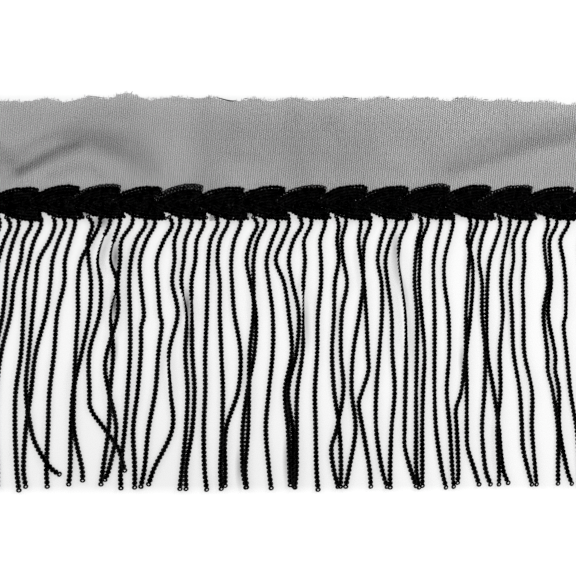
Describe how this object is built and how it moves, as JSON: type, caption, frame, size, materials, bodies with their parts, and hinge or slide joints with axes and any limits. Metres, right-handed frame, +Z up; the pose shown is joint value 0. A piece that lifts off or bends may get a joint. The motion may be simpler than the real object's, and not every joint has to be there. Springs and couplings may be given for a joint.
{
  "type": "sequin fringe trim",
  "caption": "Cut length of fringe trim lying flat: a sheer mesh heading, a chain of nested sequin leaf motifs along its lower edge, and a comb of hanging sequin strands under them.",
  "frame": {"origin": "middle of the bounding box's underside, on the surface that the trim lies on", "axes": "+X along the trim, so that the leaf motifs point towards -X; +Y from the strand tips towards the heading's cut edge; +Z up, out of the face"},
  "size_m": [0.422, 0.2598, 0.0058],
  "materials": {
    "mesh_cloth": "sheer black knitted mesh, matt",
    "leaf_sequins": "glossy black cupped sequins sewn in close rows",
    "strand_sequins": "glossy black cupped sequins chained on thread"
  },
  "bodies": {
    "root": {"mesh_heading": "mesh_cloth", "leaf_01": "leaf_sequins", "leaf_02": "leaf_sequins", "leaf_03": "leaf_sequins", "leaf_04": "leaf_sequins", "leaf_05": "leaf_sequins", "leaf_06": "leaf_sequins", "leaf_07": "leaf_sequins", "leaf_08": "leaf_sequins", "leaf_09": "leaf_sequins", "leaf_10": "leaf_sequins", "leaf_11": "leaf_sequins", "leaf_12": "leaf_sequins", "leaf_13": "leaf_sequins", "leaf_14": "leaf_sequins", "leaf_15": "leaf_sequins", "fringe": "strand_sequins"}
  },
  "joints": []
}
